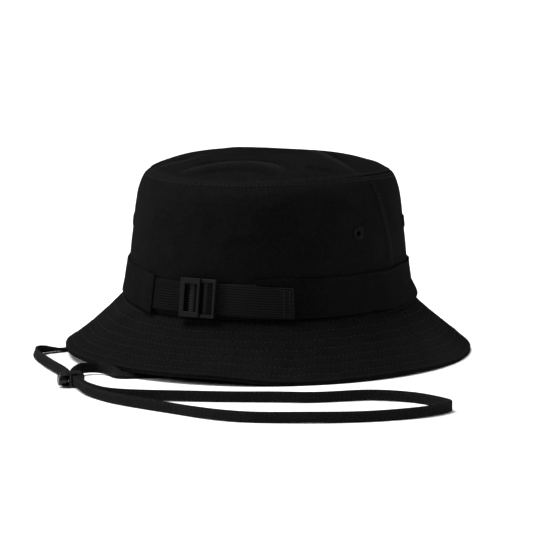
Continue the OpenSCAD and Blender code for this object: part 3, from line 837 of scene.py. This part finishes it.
def eyelet(name, turn, node):
    """A worked eyelet: strands of thread laid side by side round a hole."""
    at, around, up, out = eyelet_frame(turn)
    g = np.arange(STRANDS * 8) / (STRANDS * 8) * 2 * math.pi
    rng = np.random.default_rng(abs(int(turn)))
    uneven = np.repeat(rng.uniform(-0.1, 0.12, STRANDS), 8)
    strand = 0.15 * np.abs(np.cos(g * STRANDS / 2)) + 0.4 * uneven
    outline = np.array(EYELET_OUTLINE)
    away = unit(outline - EYELET_HEART)
    r = outline[None, :, 0] + away[None, :, 0] * strand[:, None]
    w = outline[None, :, 1] + away[None, :, 1] * strand[:, None]
    grid = (at + (r * np.cos(g)[:, None])[..., None] * around + (r * np.sin(g)[:, None])[..., None] * up
            + w[..., None] * out)
    dress(skin(name, grid, True, True), "hat", EYELET_THREAD, "thread", node)


def punch(panel, turns):
    """Cuts the eyelets' holes through a wall panel."""
    for turn in turns:
        at, around, up, out = eyelet_frame(turn)
        g = np.arange(40) / 40 * 2 * math.pi
        ring = EYELET_HOLE * (np.outer(np.cos(g), around) + np.outer(np.sin(g), up))
        grid = np.stack([at + ring - 6 * out, at + ring + 6 * out])
        cutter = skin("cutter", grid, False, True, "round")
        add_modifier(panel, "BOOLEAN", operation="DIFFERENCE", solver="EXACT", object=cutter)
        apply_modifiers(panel)
        bpy.data.objects.remove(cutter)


EYELETS = {"eyelet_front_left": -EYELET_TURN, "eyelet_back_left": EYELET_TURN,
           "eyelet_front_right": EYELET_TURN - 180, "eyelet_back_right": 180 - EYELET_TURN}
for eyelet_name, eyelet_turn in EYELETS.items():
    eyelet(eyelet_name + "_worked", eyelet_turn, eyelet_name)
punch(front_panel, [turn for turn in EYELETS.values() if turn < 0])
punch(back_panel, [turn for turn in EYELETS.values() if turn > 0])


# ===== hatband =====
BAND_FROM, BAND_TO = -67, 248.2
BAND_TOP = BAND_LOW + BAND_H
BAND_ROW = 1.7
BAND_OFF = 0.75


def band_wave(turn):
    return 0.25 * ripple(turn, 73, 7, 20)


def band_surface(z, turn, off):
    """A point on the cloth band, which stands out over the webbing's sewn end and flares at the left."""
    cover = 2.1 * ease((turn - (BAND_TO - 11)) / 9)
    flare = 3.0 * near_turn(turn, 24, 62) * ease((48 - z) / 12)
    sway = 0.18 * ripple(turn, 71, 5, 15) + 0.12 * ripple(turn, 72, 18, 44) * np.cos((z - 36) / 5)
    inward = 0.3 * hill(z - BAND_TOP + BAND_ROW, 0.6)
    inward = inward - 0.7 * near_turn(turn, -15, 95) * ease((z - BAND_TOP + 5) / 5)
    return wall(wall_f(z), turn, off + cover + flare + sway * ease(off / 0.8) - inward)


def hat_band():
    """The cloth band, open at the front, with a row of stitches under its upper edge."""
    up = rows(BAND_H, 1.2, 0.65)
    around = rows(520, 1.6, 1.0)
    turn = (BAND_FROM + (BAND_TO - BAND_FROM) * around / 520)[:, None]
    z = (BAND_LOW + up)[None, :] + band_wave(turn)
    half = 0.5 * rolled(up, BAND_H, 0.5)[None, :] * rolled(around, 520, 1.0)[:, None]
    faces = [band_surface(z, turn, BAND_OFF + side * half) for side in (1, -1)]
    obj = sheet("hat_band_cloth", *faces)
    dress(obj, "hat", BAND_CLOTH, "cloth", "hat_band")
    turn = np.linspace(BAND_FROM + 1, BAND_TO - 1, 1200)
    paths = [on_row(band_surface, turn, BAND_TOP - BAND_ROW + band_wave(turn), BAND_OFF + 0.49)]
    stitches("hat_band_stitching", paths, 2.9, 1.3, 0.15, DULL_THREAD)


hat_band()


# ===== brim =====
def lift(turn):
    """How far the strap lifts the brim's edge off the floor, round the front and the wearer's right."""
    g = (turn + 270) % 360 - 270
    return 4 * np.minimum(ease((g + 184) / 28), ease((-55 - g) / 25))


def brim_z(t, turn):
    return (BRIM_Z - (BRIM_Z - BRIM_STACK) * (1.12 * t - 0.12 * t * t) + rise(turn) * (1 - t)
            + lift(turn) * t * t)


def edge_wave(t, turn):
    """The brim's edge turns up a little in three places."""
    waves = near_turn(turn, -22, 26) + 0.5 * near_turn(turn, 62, 30) + 0.6 * near_turn(turn, 140, 34)
    return waves * t * t


def brim_relief(t, turn):
    """Broad waves, the puckers along each row of stitching, and the row's own channel."""
    t, turn = np.broadcast_arrays(t, turn)
    inside = ease(t / 0.15)
    broad = (0.55 * ripple(turn, 81, 4, 11) + 0.22 * ripple(turn + 12 * t, 82, 14, 30)) * t * (1.35 - t) * 1.6
    total = broad * inside * (1 - ease((t - 0.84) / 0.12)) + edge_wave(t, turn)
    for k, row in enumerate(BRIM_ROWS):
        away = (t - row) * BRIM_W
        total = total - 0.42 * hill(away, 0.8) + 0.15 * hill(away, 2.4) * ripple(turn, 90 + k, 70, 150)
    return total


def brim_point(t, turn, z):
    g = np.radians(turn)
    x = (HALF_W - BRIM_IN + BRIM_W * t) * np.cos(g)
    y = (OVAL * HALF_W - BRIM_IN + BRIM_W * t) * np.sin(g)
    return xyz(x, y, z)


def brim(t, turn, down=0.0):
    """A point on the brim, down millimetres below its upper face."""
    return brim_point(t, turn, brim_z(t, turn) - down + brim_relief(t, turn))


def underside(t, turn):
    """The brim's lower face, which ends in a narrow flat land with one channel less deep than the rest."""
    t, turn = np.broadcast_arrays(t, turn)
    flat = ease((t - 0.88) / 0.06)
    z = (1 - flat) * brim_z(t, turn) + flat * brim_z(1.0, turn) - BRIM_STACK + edge_wave(t, turn)
    for k, row in enumerate(BRIM_ROWS):
        away = (t - row) * BRIM_W
        z = z + 0.3 * hill(away, 0.8) + 0.06 * hill(away, 2.4) * (1 + ripple(turn, 90 + k, 70, 150))
    return brim_point(t, turn, z)


def brim_half(side, first, last):
    """One half of the brim: its upper ply, its under ply, and the stiffener between them."""
    out = rows(BRIM_W, 0.72, 0.55)
    t = (out / BRIM_W)[None, :]
    around = rows(420, 1.7, 0.9)
    turn = (first + (last - first) * around / 420)[:, None]
    edge = rolled(out, BRIM_W, 0.55)[None, :] * rolled(around, 420, 0.9)[:, None]
    faces = [brim(t, turn, BRIM_PLY / 2 * (1 + face * edge)) for face in (-1, 1)]
    upper = sheet("brim_upper_ply_" + side, *faces)
    # The brim is made lighter round turn 0 and along its outer edge.
    brim_lighter = 1.5 * near_turn(turn, 0, 26) * ease(t * 1.4) + 0.8 * ease((t - 0.965) / 0.025)
    mark(upper, "wear_and_painted_light", both_faces(brim_lighter))
    dress(upper, "hat", CLOTH, "cloth", "brim_upper_" + side)
    low = underside(t, turn)
    roof = brim(t, turn, 1.9 - 0.75 * ease((t - 0.955) / 0.02))
    middle = (low + roof) / 2
    under = sheet("brim_under_ply_" + side, middle + (roof - middle) * edge[..., None],
                  middle + (low - middle) * edge[..., None])
    dress(under, "hat", CLOTH, "cloth", "brim_under_" + side)
    t = np.linspace(0.01, 0.95, 50)[None, :]
    stiffener = sheet("brim_stiffener_" + side, brim(t, turn, 1.22), brim(t, turn, 1.78))
    dress(stiffener, "hat", INTERLINING, "interlining", "brim_interlining_" + side)


brim_half("front", -179.97, -0.03)
brim_half("back", 0.03, 179.97)


def brim_stitching():
    """Seven rows round the brim on both faces, and a row each side of the side seams."""
    turn = np.arange(0, 360.4, 0.4)
    upper, under = [], []
    for row in BRIM_ROWS:
        upper.append(on_row(brim, turn, np.full_like(turn, row), -0.05))
        under.append(on_row(underside, turn, np.full_like(turn, row)))
    t = np.linspace(0.03, 0.97, 60)
    for place in (0, 180):
        for shift in (-1.9, 1.9):
            upper.append(on_row(brim, place + np.degrees(shift / (HALF_W + BRIM_W * t)), t))
    upper = [(p, n * np.sign(n[:, 2:3])) for p, n in upper]
    under = [(p, -n * np.sign(n[:, 2:3])) for p, n in under]
    stitches("brim_upper_stitching", upper, 3.2, 1.4, 0.23)
    stitches("brim_under_stitching", under, 3.2, 1.4, 0.23)


brim_stitching()


# ===== strap ends inside the crown =====
TAB_L = 14.2


def strap_tab(name, side, node):
    """Where the chin strap is sewn to the sweatband: a short flat tab with a box of stitches."""
    lean = math.atan(WALL_SLOPE)
    s = rows(TAB_L, 1.0, 0.4)
    half = STRAP_W / 2
    a = rows(STRAP_W, 0.5, 0.5) - half
    edge = rolled(s, TAB_L, 0.4)[:, None] * rolled(a + half, STRAP_W, 0.5)[None, :]
    x = STRAP_X - s * math.sin(lean)
    z = STRAP_EXIT_Z + s * math.cos(lean)
    centre = xyz(x[:, None], a[None, :], z[:, None])
    out = np.array([math.cos(lean), 0, math.sin(lean)])
    flip = np.array([side, 1, 1])
    faces = [(centre + face * edge[..., None] * out) * flip for face in (1, -1)]
    dress(sheet(name, *faces), "hat", STRAP_CLOTH, "strap_cloth", node)
    corners = [(2, -2.2), (2, 2.2), (12, 2.2), (12, -2.2), (2, -2.2), (12, 2.2)]
    paths = []
    for (s0, a0), (s1, a1) in zip(corners, corners[1:]):
        u = np.linspace(0, 1, 12)
        along, across = s0 + (s1 - s0) * u, a0 + (a1 - a0) * u
        p = np.stack([STRAP_X - along * math.sin(lean), across, STRAP_EXIT_Z + along * math.cos(lean)], 1)
        paths.append(((p - out * STRAP_HALF_T) * flip, np.tile(-out * flip, (12, 1))))
    stitches(name + "_stitching", paths, 2.2, 1.7, 0.18)


strap_tab("strap_tab_left", 1, "strap_end_left")
strap_tab("strap_tab_right", -1, "strap_end_right")


# ===== webbing =====
def on_front(u, v, w):
    """The buckle's frame: u along the webbing, v outwards, w up the crown's lean."""
    y = FRONT_Y - v * math.cos(LEAN) + w * math.sin(LEAN)
    z = WEB_Z + v * math.sin(LEAN) + w * math.cos(LEAN)
    return xyz(BUCKLE_X + u, y, z)


def on_wall(turn, off, w, drop=0.0):
    """Webbing that follows the crown's wall, off its outer face."""
    z = WEB_Z + w - drop
    f = wall_f(z)
    a = HALF_W - inset(f) + off
    b = OVAL * (HALF_W - inset(f)) + off
    g = math.radians(turn)
    return xyz(a * math.cos(g), b * math.sin(g), z + rise(turn) * (1 - f / 0.6))


def turn_at(u):
    """The turn at which webbing on the wall is u along from the buckle's middle."""
    return math.degrees(math.asin((BUCKLE_X + u) / WEB_A)) - 90


def bar(middle, radius, first, last):
    """Places round one of the buckle's bars, in the buckle's frame."""
    for g in np.linspace(math.radians(first), math.radians(last), 16):
        yield middle[0] + radius * math.cos(g), middle[1] + radius * math.sin(g)


def resample(strip, step):
    """Evens out the stations along a strip and takes the corners off its path."""
    middle = strip[:, strip.shape[1] // 2]
    s = arc(middle)
    at = np.linspace(0, s[-1], round(s[-1] / step) + 1)
    k = np.clip(np.searchsorted(s, at, side="right") - 1, 0, len(s) - 2)
    u = ((at - s[k]) / (s[k + 1] - s[k]))[:, None, None]
    strip = strip[k] * (1 - u) + strip[k + 1] * u
    for _ in range(6):
        strip[1:-1] = 0.25 * strip[:-2] + 0.5 * strip[1:-1] + 0.25 * strip[2:]
    return strip, at


WEB_STEP = 0.25
RIB = 1.62
PICK = 1.5


def webbing(name, stations, weave, painted_light=lambda s: 1.0):
    """Webbing along its stations, with ribs along its length and, by weave(s), a grid across them."""
    w = rows(WEB_W, 0.2, 0.5) - WEB_W / 2
    strip = np.stack([maker(w) for maker in stations])
    strip, s = resample(strip, WEB_STEP)
    along = unit(np.gradient(strip, axis=0))
    wide = unit(np.gradient(strip, axis=1))
    out = np.cross(along, wide)
    rib = np.abs(np.cos(math.pi * w / RIB))[None, :]
    odd = np.where(np.floor(w / RIB + 0.5) % 2 == 0, 1, -1)[None, :]
    beat = np.sin(2 * math.pi * s / PICK)[:, None]
    picks = 0.5 + 0.5 * beat * odd
    mix = weave(s)[:, None]
    tops = ease(rib * 1.25) * (1 - mix * 0.75 * (1 - picks))
    half = (0.32 + 0.27 * tops) * rolled(w + WEB_W / 2, WEB_W, 0.5)
    ragged = 0.14 * beat * ease((np.abs(w) - 8.9) / 0.8) * np.sign(w)
    centre = strip + wide * ragged[..., None]
    half = half * np.clip(np.minimum(s, s[-1] - s) / 0.5, 0.25, 1)[:, None]
    obj = sheet(name, centre + out * half[..., None], centre - out * half[..., None])
    # Painted shade: this value darkens the colour between the ribs and in the grid, and is scaled along the
    # webbing as painted light.
    mark(obj, "rib", both_faces(tops * np.broadcast_to(painted_light(s), s.shape)[:, None]))
    return obj


def wall_run(first, last, off, count, drop=lambda turn: 0.0):
    return [lambda w, g=g: on_wall(g, off, w, drop(g)) for g in np.linspace(first, last, count)]


def front_run(points):
    return [lambda w, p=p: on_front(p[0], p[1], w) for p in points]


LOOP_BAR = (-2.6, 2.5)
WRAP_BAR = (7.2, 2.9)
SEWN_TURN, SEWN_U = -116, -18.5
TAIL_START = 16.6
TAIL_END = -52.6


def anchor_webbing():
    """Sewn to the hat at one end, round the buckle's first bar, and back on itself."""
    stations = wall_run(SEWN_TURN, turn_at(SEWN_U), 0.9, 16)
    stations += front_run([(-15.4, -0.62), (-12.4, -0.2), (-9.4, 0.2), (-6, 0.55)])
    stations += front_run(bar(LOOP_BAR, 1.65, -90, 105))
    stations += front_run([(-5, 3.3), (-7.4, 1.8), (-9.4, 1.45), (-12.4, 1.1), (-15.4, 0.62)])
    stations += wall_run(turn_at(SEWN_U), SEWN_TURN, 2.1, 16)
    # Painted light: the loop round the first bar is made lighter as painted highlight, and the runs along the
    # wall darker as painted shade.
    obj = webbing("anchor_webbing", stations, lambda s: 0.5 * hill(s - s[-1] / 2, 8),
                  lambda s: 0.2 + 1.5 * hill(s - s[-1] / 2, 7))
    dress(obj, None, WEBBING, "webbing", "webbing_sewn_end", "webbing_buckle_loop")
    start, end = (on_front(HINGE_U + shift, 0.45, 0) * MM for shift in (-3, 3))
    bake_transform(obj)


def tail_drop(turn):
    """How far the tail has dropped below the rest of the webbing."""
    return 2.2 * (turn - turn_at(TAIL_START)) / (TAIL_END - turn_at(TAIL_START))


def adjuster_webbing():
    """From under the band, round the buckle's second bar, and back over the band to a folded end."""
    stations = wall_run(-65.5, turn_at(18), 0.9, 12)
    stations += front_run([(16.3, -0.5), (11.5, 0.35)])
    stations += front_run(bar(WRAP_BAR, 2, 270, 40))
    stations += front_run([(10.9, 3.0), (12.6, 2.2), (14, 1.8), (16.3, 0.95)])
    stations += wall_run(turn_at(18), -59, 2.35, 16, tail_drop)
    fold = [(-57, 2.5), (-55.6, 2.9), (TAIL_END - 0.8, 3.05), (TAIL_END, 3.0), (TAIL_END + 0.35, 2.5),
            (TAIL_END, 2.0), (TAIL_END - 1.2, 1.95), (-56.5, 1.95), (-58.5, 1.95)]
    stations += [lambda w, p=p: on_wall(p[0], p[1], w, tail_drop(p[0])) for p in fold]
    obj = webbing("adjuster_webbing", stations, lambda s: ease((s - 22) / 6))
    dress(obj, None, WEBBING, "webbing", "webbing_under_run", "webbing_bar_wrap", "webbing_tail")
    on_front(35.5, 0, 0) * MM
    on_front(9.5, 0, 0) * MM
    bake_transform(obj)


def webbing_stitching():
    """Two rows across the tail's folded end."""
    w = np.linspace(-8.6, 8.6, 30)
    paths = []
    for turn, off in ((TAIL_END - 1.3, 3.62), (TAIL_END - 3.4, 3.45)):
        p = on_wall(turn, off, w, tail_drop(turn))
        out = np.array([math.cos(math.radians(turn)), math.sin(math.radians(turn)), 0.14])
        paths.append((p, np.tile(unit(out), (30, 1))))
    stitches("webbing_stitching", paths, 2.4, 1.9, 0.24)


anchor_webbing()
adjuster_webbing()
webbing_stitching()


# ===== moulded parts =====
def from_cad(name, node):
    """A new piece with the shape of a CAD node."""
    return add_object(name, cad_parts[node].data.copy())


def moulded(name, node, body, material, slot, voxel, passes, shrink=0.0):
    """A moulded part from its CAD solid, with its edges and corners eased as a mould leaves them."""
    obj = from_cad(name, node)
    add_modifier(obj, "REMESH", mode="VOXEL", voxel_size=voxel * MM)
    add_modifier(obj, "SMOOTH", factor=0.5, iterations=passes)
    add_modifier(obj, "DISPLACE", mid_level=0.0, strength=-shrink * MM)
    apply_modifiers(obj)
    obj.data.polygons.foreach_set("use_smooth", [True] * len(obj.data.polygons))
    return dress(obj, body, material, slot, node)


moulded("slide_buckle", "buckle", "buckle", BUCKLE_PLASTIC, "buckle_plastic", 0.2, 4)
housing = moulded("lock_housing", "cord_lock_housing", "cord_lock", LOCK_PLASTIC, "lock_plastic", 0.15, 3)
button = moulded("lock_button", "cord_lock_button", "cord_lock_button", LOCK_PLASTIC, "lock_plastic",
                 0.15, 3, 0.06)


def coil_spring():
    """The spring between the lock's crossbar and the button, with the shape of its CAD node."""
    obj = from_cad("coil_spring", "cord_lock_spring")
    dress(obj, None, STEEL, "spring_steel", "cord_lock_spring")
    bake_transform(obj)
    return obj


spring = coil_spring()


# ===== floor and light =====
def make_floor():
    mesh = bpy.data.meshes.new("floor")
    mesh.from_pydata([(-15, -15, 0), (15, -15, 0), (15, 15, 0), (-15, 15, 0)], [], [(0, 1, 2, 3)])
    floor = add_object("floor", mesh)
    n = Nodes("pale_floor")
    tone = n.noise(3.0)
    colour = n.colour(tone, grey(0.80), grey(0.84))
    floor.data.materials.append(n.surface(colour, tone, 0.0001, 0.1, Roughness=1.0, Specular_IOR_Level=0.0))


def softbox(name, azimuth, height, distance, size, power):
    """A square panel; azimuth 0 is on the -Y side, and it grows towards +X."""
    data = bpy.data.lights.new(name, "AREA")
    data.shape = "SQUARE"
    data.size = size
    data.energy = power
    obj = add_object(name, data)
    a = math.radians(azimuth)
    obj.location = (distance * math.sin(a), -distance * math.cos(a), height)
    aim(obj, (0, 0, 0.07))


def overhead(strength, spread):
    """A wide soft sun, above the hat and a little to the left."""
    data = bpy.data.lights.new("overhead", "SUN")
    data.energy = strength
    data.angle = math.radians(spread)
    obj = add_object("overhead", data)
    obj.location = (-1.05, -0.3, 2.7)
    aim(obj, (0, 0, 0))


def make_world(value):
    world = bpy.data.worlds.new("world")
    world.use_nodes = True
    world.node_tree.nodes["Background"].inputs[0].default_value = (value, value, value, 1)
    bpy.context.scene.world = world


CAMERA_AZIMUTH = 26.5
make_floor()
overhead(5.3, 40)
softbox("key_left", CAMERA_AZIMUTH - 78, 0.6, 1.7, 0.6, 16)
softbox("fill_right", CAMERA_AZIMUTH + 98, 0.7, 1.7, 0.9, 19)
make_world(0.02)
bpy.context.scene.view_settings.view_transform = "Standard"
